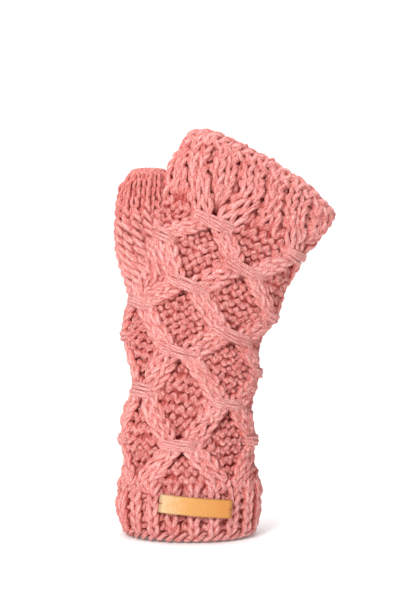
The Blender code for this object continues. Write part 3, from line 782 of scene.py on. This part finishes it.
ties = {
    "strands": 4, "radius": 1.0 * mm, "sides": 8, "steps": 22, "spacing": 1.5 * mm, "jitter": 0.25 * mm,
    "firstColumn": -1,
    "halfSpan": 0.5,          # in columns
    "smile": 0.8 * mm,        # by which its ends stand higher than its middle
    "fan": -0.35,             # share by which its strands part towards its ends; below 0 they draw together
    "proud": 0.5 * mm,        # how far it stands out
    "sideProud": 0.9 * mm, "sideColumns": (2, 6),          # and how much further at the sides
    "dive": 4.2 * mm,         # of its ends into the knitting
    "round": 0.3 * mm,        # by which each strand lies lower than the one nearer its middle
    "noneFrom": (6, 3),       # the gusset's column, and the tie row from which it has none
    "slopeOver": 0.1,         # sections on either side over which the form's slope is taken
    # depth that the painted shade reads for the ties; this shallow, they get little of it and look lighter
    "shade": -0.3 * mm,
    "seed": 7,
}


def tieBundles():
    # strand k: across = p * half span, height = k * spacing * (1 + fan p^2) + smile p^2, lift = -dive |p|^4
    random = np.random.default_rng(ties["seed"])
    parts = []
    p = np.linspace(-1, 1, ties["steps"])
    for tieRow in range(lattice["lastRow"] + 1):
        place = np.interp(tieRow, arm["tieRow"], arm["places"])
        pitch = along(arm, "length", place) * along(arm, "share", place) / lattice["columns"]
        below, above = (np.interp(place + shift, arm["places"], arm["points"][:, 0, 2])
                        for shift in (-ties["slopeOver"], ties["slopeOver"]))
        spread = np.interp(tieRow, *np.transpose(lattice["spread"]))
        for column in range(ties["firstColumn"], ties["firstColumn"] + lattice["columns"]):
            inGusset = column == ties["noneFrom"][0] and tieRow >= ties["noneFrom"][1]
            if (column + tieRow) % 2 or inGusset:
                continue
            middle = lattice["offset"] + (column + spread * math.sin(frontWay(column))) * pitch
            wider = spread * turn / lattice["columns"] * math.cos(frontWay(column))
            halfSpan = ties["halfSpan"] * pitch * (1 + wider)
            proud = ties["proud"] + ties["sideProud"] * (column in ties["sideColumns"])
            for strandNumber in range(ties["strands"]):
                k = strandNumber - (ties["strands"] - 1) / 2
                shift = random.normal(0, ties["jitter"], 3)
                up = k * ties["spacing"] * (1 + ties["fan"] * p**2) + ties["smile"] * p**2
                up = up + shift[0] + p * shift[1]
                lift = proud - ties["radius"] - ties["dive"] * np.abs(p) ** 4 - ties["round"] * abs(k)
                path, normal = onForm(arm, place + up / (above - below) * 2 * ties["slopeOver"],
                                      middle + p * halfSpan, lift + shift[2])
                parts.append(sweepYarn(path, normal, ties["radius"], ties["shade"], closed=False,
                                       sides=ties["sides"]))
    return parts


thumbKnit = {
    "stitches": 15, "courses": 14, "firstPlace": 0.1, "lastPlace": 4.75, "phase": 0.35,
    "shingle": 0.35 * mm, "drop": 0.3 * mm,
    # yarn, height, lean, cross and bulge of the stitches low down and of the cords higher up
    "coarse": (1.6 * mm, 0.68, 2.6 * mm, 1.4 * mm, 0.36, 1.7 * mm),
    "cords": (1.12 * mm, 0.72, 0.5 * mm, 0.35 * mm, 0.12, 1.3 * mm),
    "cordsFrom": (1.8, 1.7),  # section where the cords start, over how many
    "shade": 1.15 * mm,       # painted shade on the cords: mm by which they read deeper, so they are tinted darker
    "seed": 200,
}


def thumbCourses():
    # knit stitches, evenly round the thumb, that turn from coarse ones to thin upright cords
    parts = []
    heights = thumb["middle"][:, 1]
    low, high = (np.interp(thumbKnit[end], thumb["places"], heights) for end in ("firstPlace", "lastPlace"))
    step = (high - low) / thumbKnit["courses"]
    kinds = np.ones(thumbKnit["stitches"])
    for course in range(thumbKnit["courses"]):
        level = low + step * (course + 0.5 + yarn["levels"])
        place = np.interp(level, heights, thumb["places"])
        length = along(thumb, "length", place)[:, None]
        marks = (np.arange(thumbKnit["stitches"] + 1) + thumbKnit["phase"]) / thumbKnit["stitches"]
        lines = marks[None, :] * length
        lifts = np.full((len(level), thumbKnit["stitches"]), -thumbKnit["drop"])
        mix = smoothStep((place[len(place) // 2] - thumbKnit["cordsFrom"][0]) / thumbKnit["cordsFrom"][1])
        radius, tall, lean, cross, share, most = (coarse + (cord - coarse) * mix for coarse, cord in
                                                  zip(thumbKnit["coarse"], thumbKnit["cords"]))
        made = loopCourse(thumb, place, lines[:, :-1], lines[:, 1:], kinds, lifts, radius,
                          thumbKnit["seed"] + course, tall, thumbKnit["shingle"], share, most, lean, cross)
        hidden = depthInside(arm, made[0], junction["arm"]) > junction["yarnDeep"]
        # painted shade: the cords higher up on the thumb are tinted darker
        parts.append(sweepYarn(*made[:3], made[3] - thumbKnit["shade"] * mix, keep=~hidden))
    return parts


castOn = {"place": 0.45, "crossings": 40, "steps": 16, "radius": 1.25 * mm, "swell": 1.5 * mm}
bindOffs = {
    "steps": 20,              # for each link
    # each chain's shade is the depth that the painted shade reads for it
    "fingers": {"place": 15.62, "links": 15, "radius": 1.6 * mm, "width": 2.2 * mm, "depth": 1.3 * mm,
                "shade": -1.5 * mm},
    "thumb": {"place": 4.72, "links": 14, "radius": 1.2 * mm, "width": 1.3 * mm, "depth": 1.0 * mm,
              "shade": -2.4 * mm},
}


def castOnRope():
    # two strands round each other: height = swell sin(n a + phase), depth = swell cos(n a + phase)
    a = np.linspace(0, turn, castOn["crossings"] * castOn["steps"], endpoint=False)
    parts = []
    for side in range(2):
        phase = castOn["crossings"] / 2 * a + side * math.pi
        place = castOn["place"] + castOn["swell"] * np.sin(phase) / hemHeight
        arc = a / turn * along(arm, "length", place)
        path, normal = onForm(arm, place, arc, -castOn["radius"] - castOn["swell"] * (1 - np.cos(phase)))
        parts.append(sweepYarn(path, normal, castOn["radius"]))
    return parts


def bindOffChain(grid, edge):
    # braid of three: height = w sin(n a + phase), depth = d sin 2(n a + phase)
    a = np.linspace(0, turn, edge["links"] * bindOffs["steps"], endpoint=False)
    heights = np.interp(edge["place"] + np.array([-0.5, 0.5]), grid["places"], grid["middle"][:, 1])
    parts = []
    for side in range(3):
        phase = edge["links"] * 2 / 3 * a + side * turn / 3
        place = edge["place"] + edge["width"] * np.sin(phase) / (heights[1] - heights[0])
        arc = a / turn * along(grid, "length", place)
        path, normal = onForm(grid, place, arc, -edge["radius"] - edge["depth"] * (1 - np.sin(2 * phase)))
        parts.append(sweepYarn(path, normal, edge["radius"], edge["shade"]))
    return parts


backing = {
    "wall": 0.5 * mm, "shade": -2 * mm,
    "behindRib": 0.4 * mm, "behindLattice": 1.1 * mm,   # between it and the yarn before it
    "behindThumb": 2.6 * mm,                            # from the form's face
    # for each cloth: the sections that it spans, its rows and points round, and its flat size in metres
    "wrist_rib_cloth": ((0.75, 3.2), (14, 160), (0.22, 0.030)),
    "lattice_cloth": ((3.2, 13.5), (72, 180), (0.215, 0.140)),
    "finger_rib_cloth": ((13.5, 15.8), (14, 160), (0.215, 0.030)),
    "thumb_cloth": ((0.4, 4.75), (30, 64), (0.088, 0.040)),
}


def cloth(name, grid, liftAt, hiddenAt, nodeNames):
    # shell behind the yarn between two places: point = S(place, arc) + lift * normal, on a grid of rows by
    # points round; what hiddenAt finds inside the other form is left out. Its dark wool is painted shade,
    # seen through the holes between the stitches
    ends, counts, size = backing[name]
    place = np.linspace(*ends, counts[0])
    places = np.repeat(place[:, None], counts[1], axis=1)
    arcs = np.arange(counts[1])[None, :] / counts[1] * along(grid, "length", place)[:, None]
    points = onForm(grid, places, arcs, liftAt(place, arcs))[0].reshape(-1, 3)
    row, column = np.meshgrid(np.arange(counts[0] - 1) * counts[1], np.arange(counts[1]), indexing="ij")
    after = (column + 1) % counts[1]
    quads = np.stack([row + column, row + after, row + counts[1] + after, row + counts[1] + column],
                     axis=2).reshape(-1, 4)
    if hiddenAt is not None:
        quads = quads[~hiddenAt(points[quads].mean(axis=1))]
    part = {"points": points, "quads": quads, "caps": np.zeros((0, 3), int),
            "uv": points[quads.reshape(-1)][:, [0, 2]], "deep": np.full(len(points), backing["shade"])}
    piece = meshFrom(name, [part], paintedShadeAndThreadWool)
    wall = piece.modifiers.new("wall", "SOLIDIFY")
    wall.thickness, wall.offset = backing["wall"], -1.0
    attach(piece, "root")
    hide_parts(*nodeNames)


def wristLift(place, arcs):
    # in behind the purl columns, out behind the knit ones
    length = along(arm, "length", place)[:, None]
    pair = (arcs - wrist["phase"]) / length * wrist["stitches"] / 2
    near = np.abs(pair - np.round(pair)) * 2
    inFrom, inOver = wrist["clothIn"]
    drop = smoothStep((near - wrist["knitWidth"] * inFrom) / inOver)
    return -wrist["purlDrop"] * drop - yarn["radius"] - yarn["sink"] - backing["behindRib"]


def latticeShellLift(place, arcs):
    # the lift of the stitches round each row, behind their yarn
    lifts = np.zeros_like(arcs)
    for index, where in enumerate(place):
        gusset = gussetCount(where)
        plan = gapPlan(np.interp(where, arm["places"], arm["tieRow"]), gusset)
        starts, ends, gaps, tieRow = latticeLines(np.array([where]), plan, gusset)
        kinds, ribs, coarse = latticeKinds(tieRow[0], plan)
        lift = latticeLift(gaps, tieRow, kinds, ribs, coarse)[0]
        length = along(arm, "length", where)
        middles = (starts[0] + ends[0]) / 2 % length
        order = np.argsort(middles)
        lifts[index] = np.interp(arcs[index], middles[order], lift[order], period=length)
    return lifts - yarn["radius"] - yarn["sink"] - backing["behindLattice"]


def thumbLift(place, arcs):
    # as deep everywhere
    return np.full(arcs.shape, -backing["behindThumb"])


def inThumb(points):
    # where the hand's cloth would close the thumb
    return depthInside(thumb, points, junction["thumbCloth"]) > junction["clothDeep"]


def inArm(points):
    # where the thumb's cloth would close the hand
    return depthInside(arm, points, junction["arm"]) > junction["clothDeep"]


bands = (("lattice_yarn_lower", 1.9), ("lattice_yarn_middle", 3.9), ("lattice_yarn_upper", 6.3),
         ("finger_rib_yarn", 9.0))  # and the tie row up to which each goes
wristParts = wristCourses()
wristYarn = knitted("wrist_rib_yarn", wristParts)
courses = latticeCourses()
bandParts = {name: [] for name, _ in bands}
for tieRow, part in courses:
    bandParts[next(name for name, end in bands if tieRow <= end)].append(part)
*latticeYarn, fingerYarn = [knitted(name, parts) for name, parts in bandParts.items()]
tieParts, thumbParts = tieBundles(), thumbCourses()
smocking = knitted("smocking_ties", tieParts)
thumbYarn = knitted("thumb_yarn", thumbParts)
knitted("cast_on_yarn", castOnRope(), ["cast_on_edge"])
knitted("finger_bind_off_yarn", bindOffChain(arm, bindOffs["fingers"]), ["finger_bind_off"])
knitted("thumb_bind_off_yarn", bindOffChain(thumb, bindOffs["thumb"]), ["thumb_bind_off"])

fuzz = {
    "count": 15000,
    "length": (1.2 * mm, 3.2 * mm),
    "radius": 0.08 * mm,
    "waist": 0.8,             # share of it at the bend
    "root": 0.2 * mm,         # of a fibre inside the yarn
    "lean": 1.3,              # share of a fibre's way that is random
    "bend": 0.7,
    "deepest": -1.9 * mm,     # yarn that lies deeper under the form grows none
    "seed": 11,
}


def fuzzFibres(strands):
    # fibre: three-sided cone from base over base + L/2 way to base + L/2 way + L/2 turned, with turned = way
    # and a random bend, both of length 1
    random = np.random.default_rng(fuzz["seed"])
    points, outward, deep = (np.concatenate([part[key] for part in strands])
                             for key in ("points", "outward", "deep"))
    used = np.zeros(len(points), bool)
    base = 0
    for part in strands:
        used[part["quads"].reshape(-1) + base] = True
        base += len(part["points"])
    chosen = random.choice(np.flatnonzero(used & (deep > fuzz["deepest"])), fuzz["count"], replace=False)
    start, way = points[chosen], outward[chosen]
    way = way / np.linalg.norm(way, axis=1, keepdims=True)
    start = start - way * fuzz["root"]
    way = way + fuzz["lean"] * random.normal(0, 1, way.shape)
    way /= np.linalg.norm(way, axis=1, keepdims=True)
    turned = way + fuzz["bend"] * random.normal(0, 1, way.shape)
    turned /= np.linalg.norm(turned, axis=1, keepdims=True)
    length = random.uniform(*fuzz["length"], len(chosen))[:, None]
    middle = start + way * length / 2
    tip = middle + turned * length / 2
    side = np.cross(way, turned)
    side /= np.linalg.norm(side, axis=1, keepdims=True)
    across = np.cross(way, side)
    k = np.arange(3)
    angle = k / 3 * turn
    ring = fuzz["radius"] * (np.cos(angle)[None, :, None] * side[:, None]
                             + np.sin(angle)[None, :, None] * across[:, None])
    made = np.concatenate([start[:, None] + ring, middle[:, None] + fuzz["waist"] * ring, tip[:, None]],
                          axis=1)
    number = np.arange(len(chosen))[:, None, None] * 7                 # points of one fibre
    sides = np.stack([k, (k + 1) % 3, (k + 1) % 3 + 3, k + 3], axis=1)[None] + number
    tips = np.stack([k + 3, (k + 1) % 3 + 3, np.full(3, 6)], axis=1)[None] + number
    bases = np.array([[[2, 1, 0]]]) + number
    corners = np.concatenate([sides.reshape(-1), tips.reshape(-1), bases.reshape(-1)])
    sizes = np.repeat([4, 3, 3], [len(chosen) * 3, len(chosen) * 3, len(chosen)])
    return made.reshape(-1, 3), corners, sizes


cloth("wrist_rib_cloth", arm, wristLift, None, ["wrist_rib"])
cloth("lattice_cloth", arm, latticeShellLift, inThumb, ["lattice_body"])
cloth("finger_rib_cloth", arm, latticeShellLift, inThumb, ["finger_rib"])
cloth("thumb_cloth", thumb, thumbLift, inArm, ["thumb_tube"])
hairyParts = wristParts + [part for _, part in courses] + tieParts + thumbParts
fibrePoints, fibreCorners, fibreSizes = fuzzFibres(hairyParts)
fibres = rawMesh("wool_fuzz", fibrePoints, fibreCorners, fibreSizes, np.zeros((len(fibreCorners), 2)),
                 np.zeros(len(fibrePoints)), woolFuzz)
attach(fibres, "root")
print("knitting done,", fuzz["count"], "fibres")

tag = {
    "width": 37.8 * mm, "height": 9.6 * mm, "thickness": 1.4 * mm, "bevel": 0.25 * mm,
    "middleX": 3.7 * mm, "middleZ": 19.6 * mm, "turn": math.radians(-5.5), "gap": 0.3 * mm,
    "power": 34, "around": 160,   # of the superellipse of its outline, and points round it
    "faceRings": 10, "bevelRings": 5, "ringsFrom": (0.04, 0.96),   # first and last share of the face
    "stitch": 2.0 * mm, "threadIn": 0.7,          # length of an end stitch, and the share of it on the face
    "thread": 0.26 * mm, "threadSides": 8, "threadSteps": 12,
    "threadOver": 0.15 * mm,      # from the face up to the thread's middle
    "threadLean": 0.4 * mm,       # up or down from end to end
    "threadDive": (0.75, 2.2 * mm),   # share of the stitch after which it goes down, and how far
}


def frontOfRib(x):
    # depth of the rib's front at the tag's height: y = -b (1 - |x/a|^n)^(1/n)
    place = armPlace(np.array(tag["middleZ"]))
    halfWidth, halfDepth, power = (along(arm, name, place) for name in ("halfWidth", "halfDepth", "power"))
    middle = np.interp(place, arm["places"], arm["middle"][:, 0])
    return -halfDepth * (1 - np.abs((x - middle) / halfWidth) ** power) ** (1 / power)


def onTag(flat):
    # places (along, over the face, across) of the flat strap, turned and bent round the rib
    x = flat[..., 0] * math.cos(tag["turn"]) - flat[..., 2] * math.sin(tag["turn"]) + tag["middleX"]
    z = flat[..., 0] * math.sin(tag["turn"]) + flat[..., 2] * math.cos(tag["turn"]) + tag["middleZ"]
    return np.stack([x, frontOfRib(x) - tag["gap"] - tag["thickness"] / 2 + flat[..., 1], z], axis=-1)


def tagPiece():
    # strap: rings |x/halfW|^n + |z/halfH|^n = 1, out over the face, round the edge, in over the back
    count = tag["around"]
    a = np.linspace(0, turn, count, endpoint=False)
    half, bevel = tag["thickness"] / 2, tag["bevel"]
    inner = np.array([tag["width"] / 2 - bevel, tag["height"] / 2 - bevel])
    grow = (np.abs(np.cos(a)) ** tag["power"] + np.abs(np.sin(a)) ** tag["power"]) ** (-1 / tag["power"])
    outline = np.stack([np.cos(a) * grow, np.sin(a) * grow], axis=1)
    shares = np.linspace(*tag["ringsFrom"], tag["faceRings"])
    corner = np.linspace(0, math.pi / 2, tag["bevelRings"])
    rings = [(outline * inner * share, -half, share) for share in shares]
    rings += [(outline * (inner + bevel * math.sin(c)), -half + bevel * (1 - math.cos(c)), 1.0)
              for c in corner]
    rings += [(outline * (inner + bevel * math.cos(c)), half - bevel + bevel * math.sin(c), 1.0)
              for c in corner]
    rings += [(outline * inner * share, half, share) for share in shares[::-1]]
    flat = np.array([np.column_stack([ring[:, 0], np.full(count, deep), ring[:, 1]])
                     for ring, deep, _ in rings])
    rows = len(rings)
    row, column = np.meshgrid(np.arange(rows - 1) * count, np.arange(count), indexing="ij")
    after = (column + 1) % count
    quads = np.stack([row + column, row + count + column, row + count + after, row + after], axis=2)
    caps = np.stack([np.arange(count), (rows - 1) * count + np.arange(count)[::-1]])
    return {"points": onTag(flat).reshape(-1, 3), "quads": quads.reshape(-1, 4), "caps": caps,
            "uv": flat[..., [0, 2]].reshape(-1, 2)[quads.reshape(-1)],
            "deep": np.repeat([share for _, _, share in rings], count) * mm}


def tagStitches():
    # one thread over each short edge: straight out over the face, then down with the square of the way out
    parts = []
    p = np.linspace(0, 1, tag["threadSteps"])
    diveFrom, dive = tag["threadDive"]
    for side in (-1, 1):
        outward = side * (tag["width"] / 2 + tag["stitch"] * (p - tag["threadIn"]))
        over = (-tag["thickness"] / 2 - tag["threadOver"]
                + dive * np.where(p > diveFrom, (p - diveFrom) / (1 - diveFrom), 0) ** 2)
        path = onTag(np.stack([outward, over, tag["threadLean"] * side * (p - 0.5)], axis=1))
        parts.append(sweepYarn(path, np.tile([0.0, -1.0, 0.0], (len(p), 1)), tag["thread"], closed=False,
                               sides=tag["threadSides"]))
    return parts


leatherLook = {
    "colours": ((0.0, (0.80, 0.52, 0.29)), (1.0, (0.68, 0.265, 0.05)), (0.4, (0.71, 0.335, 0.09))),
    "fade": (-16 * mm, 22 * mm),  # x from where it is palest to where it is darkest: painted light at the left end, painted shade towards the right
    "mottle": 0.9, "mottleScale": 900.0,
    "edgeFrom": 0.9, "edgeShade": 0.62,           # share of the face from which it darkens, and to what
    "roughness": 0.5, "grain": 1900.0, "bump": 0.6,
}


def leatherMaterial():
    # colour = ramp(x between the fade's ends + mottle), darker at the cut edge; bump = fine cells of grain;
    # the ramp along x is painted light at the left end and painted shade towards the right
    material = bpy.data.materials.new("tanLeather")
    material.use_nodes = True
    tree = material.node_tree
    shader = tree.nodes["Principled BSDF"]
    place = node(tree, "ShaderNodeTexCoord").outputs["Object"]
    axes = node(tree, "ShaderNodeSeparateXYZ")
    tree.links.new(place, axes.inputs[0])
    # painted light and shade: paler at the tag's left end, darker towards its right
    fade = stretched(tree, axes.outputs["X"], *leatherLook["fade"])
    mottle = noiseOn(tree, place, Scale=leatherLook["mottleScale"], Detail=4.0, Roughness=0.7)
    mottled = maths(tree, "MULTIPLY_ADD", mottle, leatherLook["mottle"], -leatherLook["mottle"] / 2)
    tan = blended(tree, maths(tree, "ADD", fade, mottled), *leatherLook["colours"])
    depth = node(tree, "ShaderNodeAttribute", attribute_name="yarnDepth")
    # darker at the cut edge
    darkerAtEdge = node(tree, "ShaderNodeVectorMath", operation="SCALE")
    tree.links.new(tan, darkerAtEdge.inputs[0])
    edge = stretched(tree, depth.outputs["Fac"], leatherLook["edgeFrom"], 1.0, 1.0, leatherLook["edgeShade"])
    tree.links.new(edge, darkerAtEdge.inputs["Scale"])
    tree.links.new(darkerAtEdge.outputs[0], shader.inputs["Base Color"])
    grain = node(tree, "ShaderNodeTexVoronoi", Scale=leatherLook["grain"])
    tree.links.new(place, grain.inputs["Vector"])
    bump = node(tree, "ShaderNodeBump", Strength=leatherLook["bump"], Distance=0.3 * mm)
    tree.links.new(grain.outputs["Distance"], bump.inputs["Height"])
    tree.links.new(bump.outputs[0], shader.inputs["Normal"])
    shader.inputs["Roughness"].default_value = leatherLook["roughness"]
    return material


leatherTag = meshFrom("leather_tag_strap", [tagPiece()], leatherMaterial())
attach(leatherTag, "root")
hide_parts("leather_tag")
stitching = meshFrom("tag_stitches", tagStitches(), paintedShadeAndThreadWool)
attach(stitching, "root")
print("tag done")

studio = {
    "floor": (0.92, 0.92, 0.92, 1), "glow": 0.12, "world": 0.20,
    "front": -2.5, "backAt": 0.9, "halfWidth": 3.0, "height": 3.0, "bend": 0.5, "bendSteps": 24,
    "lamps": {  # place, what it is turned to, size in metres and power in watts
        "key": ((-0.46, -0.98, 0.82), (0.01, 0.0, 0.11), 0.4, 13.4),
        "fill": ((0.9, -0.9, 0.25), (0.01, 0.0, 0.11), 0.9, 1.6),
        "wallWash": ((0.0, 0.15, 1.6), (0.0, 1.3, 0.3), 1.0, 22),
    },
    "eye": (0.00594, -0.6, 0.1258), "shown": 0.324,   # metres from top to bottom of the frame at the arm
    "sensor": 36.0,
}


def backdrop():
    # floor that bends up into a wall: a quarter circle between two straight lines, y and z, along X
    bend = np.linspace(0, math.pi / 2, studio["bendSteps"])
    radius, backAt = studio["bend"], studio["backAt"]
    y = np.concatenate([[studio["front"]], backAt + radius * np.sin(bend), [backAt + radius]])
    z = np.concatenate([[0], radius * (1 - np.cos(bend)), [studio["height"]]])
    sides = (-studio["halfWidth"], studio["halfWidth"])
    points = np.concatenate([np.stack([np.full(len(y), side), y, z], axis=1) for side in sides])
    k = np.arange(len(y) - 1)
    quads = np.stack([k, k + len(y), k + len(y) + 1, k + 1], axis=1)
    mesh = bpy.data.meshes.new("studio_sweep")
    mesh.from_pydata(points.tolist(), [], quads.tolist())
    mesh.shade_smooth()
    material = bpy.data.materials.new("paleFloor")
    material.use_nodes = True
    shader = material.node_tree.nodes["Principled BSDF"]
    for key, value in (("Base Color", studio["floor"]), ("Roughness", 0.9), ("Emission Color", (1, 1, 1, 1)),
                       ("Emission Strength", studio["glow"])):
        shader.inputs[key].default_value = value
    mesh.materials.append(material)
    sweep = bpy.data.objects.new("studio_sweep", mesh)
    bpy.context.scene.collection.objects.link(sweep)


def areaLight(name, place, target, size, power):
    # tilt = the angle from straight down to the target, heading = the way to it seen from above
    light = bpy.data.lights.new(name, "AREA")
    light.shape, light.size, light.energy = "SQUARE", size, power
    lamp = bpy.data.objects.new(name, light)
    lamp.location = place
    way = np.array(target) - np.array(place)
    lamp.rotation_euler = (math.atan2(math.hypot(way[0], way[1]), -way[2]), 0,
                           math.atan2(way[1], way[0]) - math.pi / 2)
    bpy.context.scene.collection.objects.link(lamp)


backdrop()
for lampName, lampSetting in studio["lamps"].items():
    areaLight(lampName, *lampSetting)
world = bpy.data.worlds.new("softRoom")
world.use_nodes = True
sky = world.node_tree.nodes["Background"].inputs
sky["Color"].default_value = (1, 1, 1, 1)
sky["Strength"].default_value = studio["world"]
bpy.context.scene.world = world
bpy.context.scene.view_settings.view_transform = "Standard"

camera = bpy.data.cameras.new("front")
camera.sensor_fit = "AUTO"
camera.sensor_width = studio["sensor"]
camera.lens = studio["sensor"] * -studio["eye"][1] / studio["shown"]
eye = bpy.data.objects.new("front", camera)
eye.location = studio["eye"]
eye.rotation_euler = (math.pi / 2, 0, 0)
bpy.context.scene.collection.objects.link(eye)
bpy.context.scene.camera = eye
print("studio ready")
